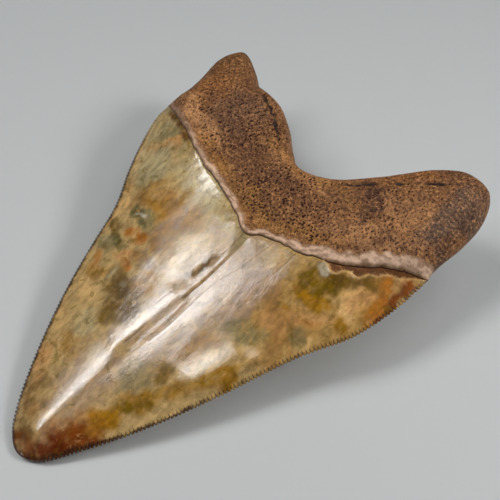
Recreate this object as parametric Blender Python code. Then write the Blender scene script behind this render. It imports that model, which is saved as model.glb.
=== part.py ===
"""A fossil megalodon tooth, lying on its lingual side with the flatter labial side up.

The tooth is one piece: an enamel crown with finely serrated cutting edges on a two-lobed bone
root. Its plan outline is a closed loop of smooth curves. The labial and the lingual side are two
height fields over that outline, triangulated between the same outer loop, so that the body is
closed. X runs across the tooth, Y from the tip to the root and Z up. Lengths are in millimetres
until the mesh is made.
"""
import math

import bpy
import numpy as np
from mathutils import Euler, Vector, kdtree
from mathutils.geometry import delaunay_2d_cdt

MM = 0.001

# ---- plan outline, with the tip at the origin -------------------------------------------------
# The two cutting edges, from the left crown corner round the blunt tip to the right corner.
CUTTING_EDGES = [
    (-38.3, 79.1), (-38.1, 75.0), (-35.9, 68.2), (-32.1, 59.7), (-27.4, 51.1), (-24.4, 41.6),
    (-20.7, 30.7), (-14.9, 17.5), (-8.5, 6.1), (-4.2, 0.9), (-0.2, -0.8), (4.3, 1.1),
    (9.1, 7.9), (16.2, 20.3), (22.9, 34.9), (29.2, 50.4), (35.1, 61.5), (37.8, 71.8),
    (38.9, 80.6),
]
# The root, from the right crown corner over the right lobe and the notch to the left shoulder.
RIGHT_LOBE_AND_NOTCH = [
    (38.9, 80.6), (38.5, 84.0), (39.7, 92.0), (39.5, 99.6), (36.5, 105.4), (30.4, 106.2),
    (24.5, 102.6), (15.6, 93.1), (7.7, 86.4), (0.2, 84.6), (-4.1, 87.3), (-9.0, 91.6),
    (-14.8, 95.1), (-20.2, 96.2), (-23.0, 96.3),
]
# The left lobe, from its shoulder round its tip to the left crown corner.
LEFT_LOBE = [
    (-23.0, 96.3), (-27.5, 99.7), (-33.0, 102.2), (-35.9, 99.5), (-37.2, 95.7),
    (-36.6, 89.0), (-36.8, 84.4), (-38.3, 79.1),
]

# ---- serrations ----------------------------------------------------------------------------
SERRATION_PITCH = 0.84
SERRATION_DEPTH = 0.34
WORN_TIP = 6.0                # the edge is worn smooth this far from the tip

# ---- enamel border and collar, labial side ----------------------------------------------------
ENAMEL_BORDER = [
    (-38.3, 79.1), (-32.4, 77.2), (-25.4, 74.3), (-17.8, 71.0), (-8.4, 68.3), (-0.7, 65.4),
    (4.2, 63.2), (7.2, 65.2), (14.9, 66.9), (21.5, 69.5), (26.6, 72.5), (32.0, 77.0),
    (38.9, 80.6),
]
COLLAR_WIDTH = 2.3            # raised band of the root along the enamel
COLLAR_HEIGHT = 0.35
CHIP_SPAN = (20.8, 37.5)      # enamel has flaked off along this stretch of the border
CHIP_WIDTH = 2.1
CHIP_DEPTH = 0.55

# ---- bourlette, the dull chevron between crown and root on the lingual side ---------------------
LINGUAL_BORDER = [
    (-38.3, 79.1), (-26.0, 75.0), (-12.0, 69.0), (0.0, 65.5), (12.0, 68.5), (26.0, 75.0),
    (38.9, 80.6),
]
BOURLETTE_WIDTH = 8.0         # in the middle; it narrows to nothing at the crown corners
BOURLETTE_DEPTH = 0.45

# ---- thickness: stations (distance from the tip, height off the plane of the edges) -------------
LABIAL_CROWN = [(0.0, 0.25), (1.5, 0.9), (5.0, 1.6), (12.0, 2.3), (30.0, 3.5), (55.0, 4.7),
                (82.0, 5.6)]
LINGUAL_CROWN = [(0.0, 0.35), (1.5, 1.1), (5.0, 2.1), (12.0, 3.5), (30.0, 6.6), (55.0, 10.3),
                 (82.0, 12.0)]
CROWN_LENGTH = 80.0
LABIAL_ROOT = 5.7
LINGUAL_ROOT = 6.8
LABIAL_ROUND = 5.0            # how far in from the outline the root's rim is rounded
LINGUAL_ROUND = 7.5
LOBE_ROUND = 4.0              # extra rounding towards the ends of the lobes
TORUS_HEIGHT = 8.4            # lingual swelling, of two swells with a furrow between them
TORUS_Y = 76.5
TORUS_LENGTH = 8.5
SWELL_X = 11.5
SWELL_WIDTH = 10.5
FURROW_DEPTH = 1.4
FURROW_WIDTH = 2.6
FORAMEN = (0.6, 74.0)         # nutrient hole in the furrow
FORAMEN_RADIUS = 1.1
FORAMEN_DEPTH = 1.6

# ---- groove just inside the basal margin of the labial root --------------------------------------
RIM_GROOVE = [(-18.6, 93.4), (-13.2, 90.6), (-7.4, 86.4), (-2.0, 82.8), (3.0, 81.2), (8.7, 82.8),
              (18.4, 90.5), (25.8, 96.5), (31.8, 100.6)]
GROOVE_DEPTH = 0.7
GROOVE_WIDTH = 0.75

# ---- shallow trough beside the middle of the crown ------------------------------------------------
TROUGH = [(4.0, 61.5), (3.4, 55.5), (1.0, 44.5)]
TROUGH_DEPTH = 0.22
TROUGH_WIDTH = 2.2

# ---- mesh ------------------------------------------------------------------------------------
CROWN_INSET = 1.2             # first loop inside the outline
ROOT_INSET = 0.45
ROOT_STEP = 1.9               # spacing along the root's outline
CROWN_STEP = 2.2              # spacing of the points between the lines
ROOT_STEP_INSIDE = 1.7

ENAMEL_COLOUR = (0.36, 0.30, 0.17, 1.0)
ROOT_COLOUR = (0.25, 0.13, 0.055, 1.0)


# ---- curves ----------------------------------------------------------------------------------
def smooth_curve(points, steps=12):
    """A centripetal Catmull-Rom curve through the points, with its two ends."""
    p = np.array(points, float)
    p = np.vstack([2 * p[0] - p[1], p, 2 * p[-1] - p[-2]])
    knots = np.r_[0.0, np.cumsum(np.linalg.norm(np.diff(p, axis=0), axis=1) ** 0.5)]
    curve = []
    for i in range(1, len(p) - 2):
        t0, t1, t2, t3 = knots[i - 1:i + 3]
        t = np.linspace(t1, t2, steps, endpoint=False)[:, None]
        a = ((t1 - t) * p[i - 1] + (t - t0) * p[i]) / (t1 - t0)
        b = ((t2 - t) * p[i] + (t - t1) * p[i + 1]) / (t2 - t1)
        c = ((t3 - t) * p[i + 1] + (t - t2) * p[i + 2]) / (t3 - t2)
        ab = ((t2 - t) * a + (t - t0) * b) / (t2 - t0)
        bc = ((t3 - t) * b + (t - t1) * c) / (t3 - t1)
        curve.append(((t2 - t) * ab + (t - t1) * bc) / (t2 - t1))
    curve.append(p[-2:-1])
    return np.vstack(curve)


def lengths_along(curve):
    return np.r_[0.0, np.cumsum(np.linalg.norm(np.diff(curve, axis=0), axis=1))]


def resample(curve, count):
    """The curve as count + 1 evenly spaced points."""
    along = lengths_along(curve)
    wanted = np.linspace(0.0, along[-1], count + 1)
    return np.c_[np.interp(wanted, along, curve[:, 0]), np.interp(wanted, along, curve[:, 1])]


def normals(loop, closed=True):
    """Unit normals on the left of the direction of travel, which is inward on the outline."""
    if closed:
        tangent = np.roll(loop, -1, axis=0) - np.roll(loop, 1, axis=0)
    else:
        tangent = np.gradient(loop, axis=0)
    tangent /= np.linalg.norm(tangent, axis=1)[:, None]
    return np.c_[-tangent[:, 1], tangent[:, 0]]


def distance_to(line, points, closed=False):
    """The distance from each point to a polyline."""
    ends = np.vstack([line, line[:1]]) if closed else line
    best = np.full(len(points), np.inf)
    for a, b in zip(ends[:-1], ends[1:]):
        ab = b - a
        t = np.clip(((points - a) @ ab) / (ab @ ab), 0.0, 1.0)
        best = np.minimum(best, np.linalg.norm(points - a - t[:, None] * ab, axis=1))
    return best


def smoothstep(low, high, value):
    t = np.clip((value - low) / (high - low), 0.0, 1.0)
    return t * t * (3.0 - 2.0 * t)


def stations(table, y):
    curve = smooth_curve(table)
    return np.interp(y, curve[:, 0], curve[:, 1])


# ---- the lines that shape the tooth --------------------------------------------------------------
EDGES = smooth_curve(CUTTING_EDGES)
ROOT_LINE = np.vstack([smooth_curve(RIGHT_LOBE_AND_NOTCH), smooth_curve(LEFT_LOBE)[1:]])
OUTLINE = np.vstack([EDGES, ROOT_LINE[1:-1]])
BORDER = smooth_curve(ENAMEL_BORDER)
LINGUAL_LINE = smooth_curve(LINGUAL_BORDER)
GROOVE = smooth_curve(RIM_GROOVE)
TROUGH_LINE = smooth_curve(TROUGH)
TIP_INDEX = int(np.argmin(EDGES[:, 1]))
LEFT_SIDE = EDGES[TIP_INDEX::-1]
RIGHT_SIDE = EDGES[TIP_INDEX:]


def across(x, y):
    """Place between the cutting edges: -1 on the left one, 0 in the middle, 1 on the right one."""
    level = np.clip(y, 0.0, CROWN_LENGTH)
    left = np.interp(level, LEFT_SIDE[:, 1], LEFT_SIDE[:, 0])
    right = np.interp(level, RIGHT_SIDE[:, 1], RIGHT_SIDE[:, 0])
    return np.clip((2.0 * x - left - right) / np.maximum(right - left, 0.5), -1.0, 1.0)


def beyond(line, points):
    """Signed distance to a line that crosses the tooth, positive on its root side."""
    above = points[:, 1] > np.interp(points[:, 0], line[:, 0], line[:, 1])
    return np.where(above, 1.0, -1.0) * distance_to(line, points)


def rounded_rim(depth, radius):
    """Rises from 0 on the outline to 1 at the radius, like a quarter of a superellipse."""
    return (1.0 - (1.0 - np.clip(depth / radius, 0.0, 1.0)) ** 2.2) ** (1.0 / 2.2)


def bump(distance, width):
    return np.exp(-(distance / width) ** 2)


# ---- labial side, up -----------------------------------------------------------------------------
def labial_height(points):
    x, y = points.T
    u = across(x, y)
    inside = distance_to(OUTLINE, points, closed=True)
    past_border = beyond(BORDER, points)

    fullness = 2.0 + 1.4 * smoothstep(10.0, 75.0, y)
    crown = stations(LABIAL_CROWN, y) * (1.0 - np.abs(u) ** fullness)
    crown -= TROUGH_DEPTH * bump(distance_to(TROUGH_LINE, points), TROUGH_WIDTH)
    chip = smoothstep(CHIP_SPAN[0], CHIP_SPAN[0] + 2.0, x) * smoothstep(CHIP_SPAN[1], CHIP_SPAN[1] - 5.0, x)
    crown -= CHIP_DEPTH * chip * smoothstep(-CHIP_WIDTH, -CHIP_WIDTH + 0.5, past_border)

    radius = LABIAL_ROUND + LOBE_ROUND * np.abs(u) ** 4
    root = LABIAL_ROOT * (1.0 - 0.10 * u ** 2) * rounded_rim(inside, radius)
    root -= GROOVE_DEPTH * bump(distance_to(GROOVE, points), GROOVE_WIDTH)

    corner = np.abs(u) ** 3
    blend = smoothstep(-2.0 * corner, 3.2 + 1.5 * corner, past_border)
    height = crown * (1.0 - blend) + root * blend
    collar = smoothstep(0.0, 0.7, past_border)
    collar *= smoothstep(COLLAR_WIDTH + 1.0, COLLAR_WIDTH - 0.6, past_border)
    return height + COLLAR_HEIGHT * collar * smoothstep(0.0, 4.0, inside)


# ---- lingual side, down --------------------------------------------------------------------------
def lingual_height(points):
    x, y = points.T
    u = across(x, y)
    inside = distance_to(OUTLINE, points, closed=True)
    past_border = beyond(LINGUAL_LINE, points)

    crown = stations(LINGUAL_CROWN, y) * (1.0 - np.abs(u) ** 2.1)
    width = BOURLETTE_WIDTH * (1.0 - np.abs(u) ** 1.5)
    crown -= BOURLETTE_DEPTH * smoothstep(-width - 0.6, -width + 0.1, past_border) * (width > 1.0)

    radius = LINGUAL_ROUND + LOBE_ROUND * np.abs(u) ** 4
    swells = bump(x - SWELL_X, SWELL_WIDTH * math.sqrt(2)) + bump(x + SWELL_X, SWELL_WIDTH * math.sqrt(2))
    torus = TORUS_HEIGHT * swells * bump(y - TORUS_Y, TORUS_LENGTH * math.sqrt(2))
    furrow = FURROW_DEPTH * bump(x - FORAMEN[0], FURROW_WIDTH) * bump(y - TORUS_Y, 9.0)
    root = (LINGUAL_ROOT + torus - furrow) * rounded_rim(inside, radius)
    root -= FORAMEN_DEPTH * bump(np.hypot(x - FORAMEN[0], y - FORAMEN[1]), FORAMEN_RADIUS)

    blend = smoothstep(-0.5, 4.0, past_border)
    return -(crown * (1.0 - blend) + root * blend)


# ---- points of the mesh ----------------------------------------------------------------------------
def serrated_outline():
    """The outer loop: notched along the cutting edges, plain round the root."""
    total = lengths_along(EDGES)[-1]
    count = 2 * round(total / SERRATION_PITCH)
    edge = resample(EDGES, count)
    along = np.linspace(0.0, total, count + 1)
    from_tip = np.abs(along - lengths_along(EDGES)[TIP_INDEX])
    from_corner = np.minimum(along, total - along)
    fade = smoothstep(WORN_TIP - 3.0, WORN_TIP + 2.0, from_tip) * smoothstep(0.0, 3.0, from_corner)
    side = np.where(np.arange(count + 1) % 2 == 0, 0.5, -0.5)
    edge -= (SERRATION_DEPTH * side * fade)[:, None] * normals(edge, closed=False)
    root_count = round(lengths_along(ROOT_LINE)[-1] / ROOT_STEP)
    return edge, resample(ROOT_LINE, root_count)[1:-1]


def inset_loop(edge, root):
    """The loop just inside the outline, with one point for each serration and root point."""
    coarse = np.vstack([resample(EDGES, len(edge) - 1), root])
    inward = normals(coarse)
    on_root = np.r_[np.zeros(len(edge)), np.ones(len(root))]
    inset = np.where(on_root > 0, ROOT_INSET, CROWN_INSET)
    moved = coarse + inward * inset[:, None]
    return np.vstack([moved[:len(edge):2], moved[len(edge):]])


def line_points(line, offset, step, inside_by):
    """Points beside a line that crosses the tooth, kept clear of the outline."""
    row = resample(line, round(lengths_along(line)[-1] / step))
    row = row + offset * normals(row, closed=False)
    return row[distance_to(OUTLINE, row, closed=True) > inside_by]


def rim_points(depth, step):
    """Points a given depth inside the root's outline."""
    row = resample(ROOT_LINE, round(lengths_along(ROOT_LINE)[-1] / step))
    row = row + depth * normals(row, closed=False)
    return row[distance_to(OUTLINE, row, closed=True) > 0.92 * depth]


def fill_points(taken, border, step_crown, step_root):
    """Staggered points over crown and root, clear of the points that are already placed."""
    tree = kdtree.KDTree(len(taken))
    for i, (x, y) in enumerate(taken):
        tree.insert((x, y, 0.0), i)
    tree.balance()
    kept = []
    for step, on_root in ((step_crown, False), (step_root, True)):
        rows = np.arange(OUTLINE[:, 1].min(), OUTLINE[:, 1].max(), step * math.sqrt(0.75))
        columns = np.arange(OUTLINE[:, 0].min(), OUTLINE[:, 0].max(), step)
        grid = np.array([(x + (j % 2) * step / 2, y) for j, y in enumerate(rows) for x in columns])
        grid = grid[inside_outline(grid)]
        grid = grid[(beyond(border, grid) > 0.0) == on_root]
        for x, y in grid:
            if tree.find((x, y, 0.0))[2] > 0.62 * step:
                kept.append((x, y))
    return np.array(kept)


def inside_outline(points):
    """Even-odd test of points against the outline."""
    inside = np.zeros(len(points), bool)
    for a, b in zip(OUTLINE, np.roll(OUTLINE, -1, axis=0)):
        spans = (a[1] > points[:, 1]) != (b[1] > points[:, 1])
        if a[1] != b[1]:
            crossing = a[0] + (points[:, 1] - a[1]) * (b[0] - a[0]) / (b[1] - a[1])
            inside ^= spans & (points[:, 0] < crossing)
    return inside


def triangulate(loop, extra):
    """Triangles over the inside of a loop; vertices are the loop's, then the extra ones."""
    points = np.vstack([loop, extra])
    result = delaunay_2d_cdt([Vector(p) for p in points], [], [list(range(len(loop)))], 1, 1e-7)
    source = [ids[0] for ids in result[3]]
    return [[source[v] for v in face] for face in result[2]]


# ---- body --------------------------------------------------------------------------------------------
def rim_strip(edge_count, root_count, outer, inner):
    """Triangles between the outer loop and the inset loop, as indices into outer and inner."""
    faces = []
    teeth = edge_count // 2
    for i in range(teeth):
        a, b, c = outer[2 * i], outer[2 * i + 1], outer[2 * i + 2]
        faces += [(a, b, inner[i]), (b, c, inner[i + 1]), (b, inner[i + 1], inner[i])]
    total_outer, total_inner = len(outer), len(inner)
    for k in range(root_count + 1):
        a, b = outer[edge_count - 1 + k], outer[(edge_count + k) % total_outer]
        c, d = inner[teeth + k], inner[(teeth + k + 1) % total_inner]
        faces += [(a, b, d), (a, d, c)]
    return faces


def side_points(border, offsets, step):
    rows = [line_points(border, offset, step, 1.6) for offset in offsets]
    return rows + [rim_points(1.5, 2.2), rim_points(3.2, 2.4)]


def foramen_points():
    """The middle of the nutrient hole and two rings round it."""
    turns = np.linspace(0.0, 2.0 * math.pi, 8, endpoint=False)
    ring = np.c_[np.cos(turns), np.sin(turns)]
    return np.array(FORAMEN) + np.vstack([[(0.0, 0.0)], 0.75 * ring, 1.6 * ring])


def merge_rows(rows, clear):
    """Stacks rows of points, dropping any that come too close to an earlier one."""
    kept = []
    for row in rows:
        for point in row:
            if all((point[0] - x) ** 2 + (point[1] - y) ** 2 > clear ** 2 for x, y in kept):
                kept.append(tuple(point))
    return kept


def build_side(inner, border, rows, height_of):
    """Extra points, their heights and the triangles of one side of the tooth."""
    lines = merge_rows(rows, 0.7)
    near = kdtree.KDTree(len(inner))
    for i, (x, y) in enumerate(inner):
        near.insert((x, y, 0.0), i)
    near.balance()
    lines = [p for p in lines if near.find((p[0], p[1], 0.0))[2] > 0.7]
    fill = fill_points(np.vstack([inner, lines]), border, CROWN_STEP, ROOT_STEP_INSIDE)
    extra = np.vstack([lines, fill])
    return extra, height_of(np.vstack([inner, extra])), triangulate(inner, extra)


def tooth_geometry():
    edge, root = serrated_outline()
    outer = np.vstack([edge, root])
    inner = inset_loop(edge, root)
    vertices = [(x, y, 0.0) for x, y in outer]
    faces = []
    labial_rows = side_points(BORDER, (0.0, 0.8, COLLAR_WIDTH - 0.4, COLLAR_WIDTH + 1.0), 1.5)
    labial_rows += [line_points(GROOVE, offset, 1.7, 1.9) for offset in (-0.9, 0.0, 0.9)]
    lingual_rows = side_points(LINGUAL_LINE, (0.0, 1.5, 3.0), 2.0)
    lingual_rows.insert(0, foramen_points())
    sides = ((BORDER, labial_rows, labial_height, False), (LINGUAL_LINE, lingual_rows, lingual_height, True))
    for border, rows, height_of, flip in sides:
        extra, heights, triangles = build_side(inner, border, rows, height_of)
        start = len(vertices)
        vertices += [(x, y, z) for (x, y), z in zip(np.vstack([inner, extra]), heights)]
        ring = list(range(start, start + len(inner)))
        patch = rim_strip(len(edge), len(root), list(range(len(outer))), ring)
        patch += [tuple(start + v for v in triangle) for triangle in triangles]
        faces += [face[::-1] if flip else face for face in patch]
    return np.array(vertices), faces


def laid_down(vertices):
    """Tilts the tooth until its tip and the lingual swells touch the ground, and centres it."""
    low_tip = vertices[vertices[:, 1] < 6.0]
    tip = low_tip[np.argmin(low_tip[:, 2])]
    behind = vertices[vertices[:, 1] > 40.0]
    tilt = math.atan(-np.min((behind[:, 2] - tip[2]) / (behind[:, 1] - tip[1])))
    turn = np.array(Euler((tilt, 0.0, 0.0)).to_matrix())
    turned = vertices @ turn.T
    low, high = turned.min(axis=0), turned.max(axis=0)
    return turned - np.array([(low[0] + high[0]) / 2, (low[1] + high[1]) / 2, low[2]])


# ---- Blender objects -------------------------------------------------------------------------------
def material(name, colour, roughness, coat):
    mat = bpy.data.materials.new(name)
    mat.use_nodes = True
    shader = mat.node_tree.nodes["Principled BSDF"]
    shader.inputs["Base Color"].default_value = colour
    shader.inputs["Roughness"].default_value = roughness
    shader.inputs["Metallic"].default_value = 0.0
    shader.inputs["Coat Weight"].default_value = coat
    return mat


def make_tooth(collection):
    flat, faces = tooth_geometry()
    mesh = bpy.data.meshes.new("tooth")
    mesh.from_pydata((laid_down(flat) * MM).tolist(), [], faces)
    mesh.materials.append(material("enamel", ENAMEL_COLOUR, 0.28, 0.6))
    mesh.materials.append(material("root_bone", ROOT_COLOUR, 0.6, 0.1))
    for polygon in mesh.polygons:
        corners = flat[list(polygon.vertices)]
        line = BORDER if corners[:, 2].sum() > 0.0 else LINGUAL_LINE
        middle = corners[:, :2].mean(axis=0, keepdims=True)
        polygon.material_index = int(beyond(line, middle)[0] > 0.0)
    mesh.shade_smooth()
    mesh.set_sharp_from_angle(angle=math.radians(50.0))
    tooth = bpy.data.objects.new("tooth", mesh)
    collection.objects.link(tooth)
    return tooth


def main():
    for old in list(bpy.data.objects):
        bpy.data.objects.remove(old, do_unlink=True)
    collection = bpy.data.collections.new("megalodon_tooth")
    bpy.context.scene.collection.children.link(collection)
    make_tooth(collection)


main()
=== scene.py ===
"""The looks of a fossil megalodon tooth that lies on a plain table, labial side up.

One closed mesh stands for the CAD node "tooth". Like the CAD solid it has two height fields over one
outline, in a plan frame of its own (millimetres, tip at the origin, Y towards the root, Z up). It adds
the fine surface: rounded serrations with a ridge behind each, the jagged enamel border, the wrinkled
collar, flaked and cracked enamel with low swells, and the pitted bone of the root. Its colours come
from soft stains laid down by name, which the material breaks up with procedural noise. Some colour is
painted light: shade on the rims of the cutting edges, in the serration notches, the pits and the
groove of the root, a highlight along the broken enamel edge, and shade and sheen on the right lobe.
"""
import math

import bpy
import numpy as np
from mathutils import Euler, Matrix, Vector, kdtree
from mathutils.geometry import delaunay_2d_cdt


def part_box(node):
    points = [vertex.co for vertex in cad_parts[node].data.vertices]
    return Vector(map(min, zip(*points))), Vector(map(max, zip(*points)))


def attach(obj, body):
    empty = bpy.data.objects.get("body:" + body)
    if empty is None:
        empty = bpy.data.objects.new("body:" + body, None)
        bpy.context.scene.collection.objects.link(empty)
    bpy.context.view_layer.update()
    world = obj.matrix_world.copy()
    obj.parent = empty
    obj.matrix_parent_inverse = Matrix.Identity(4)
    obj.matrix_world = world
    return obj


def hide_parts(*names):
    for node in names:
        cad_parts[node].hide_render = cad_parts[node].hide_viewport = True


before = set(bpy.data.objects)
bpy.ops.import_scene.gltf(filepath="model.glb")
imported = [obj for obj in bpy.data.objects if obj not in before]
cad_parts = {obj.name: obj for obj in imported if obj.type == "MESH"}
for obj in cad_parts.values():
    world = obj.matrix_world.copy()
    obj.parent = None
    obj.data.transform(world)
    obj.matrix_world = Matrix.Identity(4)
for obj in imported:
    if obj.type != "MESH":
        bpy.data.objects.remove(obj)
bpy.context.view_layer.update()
CAD_LOW, CAD_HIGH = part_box("tooth")
MM = 0.001  # the script works in millimetres, Blender in metres

# ---- plan outline ----
CUTTING_EDGES = [
    (-38.3, 79.1), (-38.1, 75.0), (-35.9, 68.2), (-32.1, 59.7), (-27.4, 51.1), (-24.4, 41.6),
    (-20.7, 30.7), (-14.9, 17.5), (-8.5, 6.1), (-4.2, 0.9), (-0.2, -0.8), (4.3, 1.1),
    (9.1, 7.9), (16.2, 20.3), (22.9, 34.9), (29.2, 50.4), (35.1, 61.5), (37.8, 71.8),
    (38.9, 80.6),
]
RIGHT_LOBE_AND_NOTCH = [
    (38.9, 80.6), (38.5, 84.0), (39.7, 92.0), (39.5, 99.6), (36.5, 105.4), (30.4, 106.2),
    (24.5, 102.6), (15.6, 93.1), (7.7, 86.4), (0.2, 84.6), (-4.1, 87.3), (-9.0, 91.6),
    (-14.8, 95.1), (-20.2, 96.2), (-23.0, 96.3),
]
LEFT_LOBE = [
    (-23.0, 96.3), (-27.5, 99.7), (-33.0, 102.2), (-35.9, 99.5), (-37.2, 95.7),
    (-36.6, 89.0), (-36.8, 84.4), (-38.3, 79.1),
]
SERRATION_PITCH = 0.84
SERRATION_DEPTH = 0.34
SERRATION_POINTS = 6  # points of the outline along one serration
RIDGE_HEIGHT = 0.10  # the ridge that runs in from each serration
RIDGE_LENGTH = 1.3
RIDGES_END_X = (32.0, 36.0)  # the ridges fade out here, on the shoulder of the right edge
WORN_TIP = 6.0  # the serrations fade in about this far along the edge from the tip
BEAD = 0.14  # half the thickness of the rounded cutting edge
BEAD_ROUND = 0.11

# ---- enamel border, collar and flaked strip, labial side ----
ENAMEL_BORDER = [
    (-38.3, 79.1), (-32.4, 77.2), (-25.4, 74.3), (-17.8, 71.0), (-8.4, 68.3), (-0.7, 65.4),
    (4.2, 63.2), (7.2, 65.2), (14.9, 66.9), (21.5, 69.5), (26.6, 72.5), (32.0, 77.0),
    (38.9, 80.6),
]
BORDER_CUT = 0.16  # depth of the fine step where the enamel ends
COLLAR_WIDTH = 2.3
COLLAR_HEIGHT = 0.30
COLLAR_WRINKLES = 0.22
FLAKE_EDGE = [
    (20.4, 69.1), (21.6, 69.2), (22.5, 68.7), (23.6, 68.4), (24.6, 68.6), (24.9, 69.7),
    (26.2, 70.8), (27.4, 70.9), (28.6, 71.1), (29.2, 72.6), (30.2, 73.4), (31.2, 74.0),
    (31.8, 75.1), (33.0, 75.9), (34.5, 76.7), (36.1, 78.2), (37.1, 79.0), (38.5, 80.2),
]
FLAKE_DEPTH = 0.5
CRACKS = [
    [(3.5, 63.4), (3.6, 61.4), (3.5, 58.9), (3.1, 56.1)],
    [(5.2, 58.2), (5.0, 54.6), (4.7, 50.0), (3.9, 44.4)],
    [(10.1, 65.3), (9.4, 61.6), (8.6, 57.3), (6.9, 51.6), (6.2, 46.0), (6.0, 41.2), (5.5, 36.5),
     (4.9, 33.1)],
    [(15.4, 66.0), (15.3, 63.6), (15.1, 61.2)],
    [(0.7, 43.5), (0.1, 39.7)],
    [(1.8, 34.0), (1.6, 31.8), (1.2, 29.4)],
]
CRACK_WIDTH = 0.07
CRACK_DEPTH = 0.015
FAR = 9.0  # stands for "nowhere near" in the fields of distances

# ---- thickness: (distance from the tip, height off the plane of the edges) ----
LABIAL_CROWN = [(0.0, 0.25), (1.5, 0.9), (5.0, 1.6), (12.0, 2.3), (30.0, 3.5), (55.0, 4.7),
                (82.0, 5.6)]
LINGUAL_CROWN = [(0.0, 0.35), (1.5, 1.1), (5.0, 2.1), (12.0, 3.5), (30.0, 6.6), (55.0, 10.3),
                 (82.0, 12.0)]
CROWN_LENGTH = 80.0
LABIAL_ROOT = 5.7
LINGUAL_ROOT = 6.8
LABIAL_ROUND = 5.0
LINGUAL_ROUND = 7.5
LOBE_ROUND = 4.0
TORUS_HEIGHT = 8.4  # the two swells of the lingual root, on which the tooth lies
TORUS_X = 11.5
TORUS_Y = 76.5
TORUS_WIDTH = 10.5
TORUS_LENGTH = 8.5
FURROW_DEPTH = 1.4  # the furrow between the swells, with the nutrient hole in it
FURROW_WIDTH = 2.6
FORAMEN = (0.6, 74.0)
FORAMEN_RADIUS = 1.1
FORAMEN_DEPTH = 1.6
LINGUAL_BORDER = [
    (-38.3, 79.1), (-26.0, 75.0), (-12.0, 69.0), (0.0, 65.5), (12.0, 68.5), (26.0, 75.0),
    (38.9, 80.6),
]
BOURLETTE_WIDTH = 8.0  # the bare dark band between enamel and root, lingual side
BOURLETTE_DEPTH = 0.45

# ---- groove along the rim of the root's notch, and the relief of the labial side ----
RIM_GROOVE = [(-18.6, 93.4), (-13.2, 90.6), (-7.4, 86.4), (-2.0, 82.8), (3.0, 81.2), (8.7, 82.8),
              (18.4, 90.5), (25.8, 96.5), (31.8, 100.6)]
GROOVE_DEPTH = 0.7
GROOVE_WIDTH = 0.5

# Low swells and folds of the labial crown: height, how far it reaches to the left and right of
# its crest and past the crest's two ends, and the crest line from the root down.
SWELLS = [
    (0.19, 2.3, 0.20, 2.0, [(4.6, 60.5), (4.5, 55.0), (4.2, 49.0), (3.8, 46.0)]),
    (0.06, 1.6, 0.24, 3.0, [(4.9, 42.0), (4.6, 38.0), (3.8, 33.0)]),
    (0.40, 5.2, 2.0, 3.0, [(1.8, 42.5), (1.2, 36.0), (-0.2, 29.0)]),
    (0.16, 4.2, 3.0, 3.0, [(-3.8, 62.0), (-3.4, 54.0), (-2.8, 48.0)]),
    (0.26, 14.0, 4.0, 4.0, [(-0.8, 27.0), (-0.4, 16.0), (-0.2, 6.0)]),
    (0.10, 3.5, 0.9, 3.0, [(1.5, 27.0), (1.2, 16.0), (0.4, 6.0)]),
    (1.35, 5.2, 3.0, 3.8, [(23.2, 42.0), (19.6, 33.0)]),
    (1.45, 8.5, 8.6, 5.4, [(-19.8, 77.0), (-20.4, 74.0)]),
]
LIP_HEIGHT = 0.18  # the enamel rises this much towards its border
LIP_LENGTH = 4.0
FLUTE_HEIGHT = 0.030  # long shallow flutes of the enamel
WAVE_HEIGHT = 0.030  # broad uneven waves of the enamel
STRIAE_HEIGHT = 0.022  # short creases that run into the enamel from its border

# ---- pits of the root ----
LABIAL_PITS = (0.80, 11)  # spacing and seed
LINGUAL_PITS = (1.5, 13)
PITS_FROM_Y = 60.0  # below the lowest point of the bone
PIT_RADIUS = (0.22, 0.48)  # the smallest and the largest
PIT_DEPTH = (0.12, 0.40)  # at the rim of a pit's floor, and what its middle adds

# ---- mesh spacing ----
EDGE_INSETS = (0.13, 0.30, 0.52, 0.82, 1.18, 1.6)
ROOT_INSETS = (0.18, 0.45, 0.8)
ROOT_RIM_STEP = 0.36
COLLAR_ROWS = (0.4, 0.75, 1.1, 1.45, 1.8, 2.15, 2.5)  # distances from the enamel border
LEAST_GAP = 0.085  # a point closer than this to an earlier one is left out
CROWN_STEP = 0.44
ROOT_STEP = 0.40
LINGUAL_CROWN_STEP = 0.62
LINGUAL_ROOT_STEP = 0.55


# ---- curves ----
def smooth_curve(points, steps=12):
    """A centripetal Catmull-Rom curve through the points, with its two ends."""
    p = np.array(points, float)
    p = np.vstack([2 * p[0] - p[1], p, 2 * p[-1] - p[-2]])
    knots = np.r_[0.0, np.cumsum(np.linalg.norm(np.diff(p, axis=0), axis=1) ** 0.5)]
    curve = []
    for i in range(1, len(p) - 2):
        t0, t1, t2, t3 = knots[i - 1:i + 3]
        t = np.linspace(t1, t2, steps, endpoint=False)[:, None]
        a = ((t1 - t) * p[i - 1] + (t - t0) * p[i]) / (t1 - t0)
        b = ((t2 - t) * p[i] + (t - t1) * p[i + 1]) / (t2 - t1)
        c = ((t3 - t) * p[i + 1] + (t - t2) * p[i + 2]) / (t3 - t2)
        ab = ((t2 - t) * a + (t - t0) * b) / (t2 - t0)
        bc = ((t3 - t) * b + (t - t1) * c) / (t3 - t1)
        curve.append(((t2 - t) * ab + (t - t1) * bc) / (t2 - t1))
    curve.append(p[-2:-1])
    return np.vstack(curve)


def lengths_along(curve):
    return np.r_[0.0, np.cumsum(np.linalg.norm(np.diff(curve, axis=0), axis=1))]


def resample(curve, step=None, count=None):
    """The curve as evenly spaced points, both ends included."""
    along = lengths_along(curve)
    count = count or max(1, round(along[-1] / step))
    wanted = np.linspace(0.0, along[-1], count + 1)
    return np.c_[np.interp(wanted, along, curve[:, 0]), np.interp(wanted, along, curve[:, 1])]


def normals(loop, closed=True):
    """Unit normals on the left of the direction of travel, which is inward on the outline."""
    if closed:
        tangent = np.roll(loop, -1, axis=0) - np.roll(loop, 1, axis=0)
    else:
        tangent = np.gradient(loop, axis=0)
    tangent /= np.linalg.norm(tangent, axis=1)[:, None]
    return np.c_[-tangent[:, 1], tangent[:, 0]]


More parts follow.
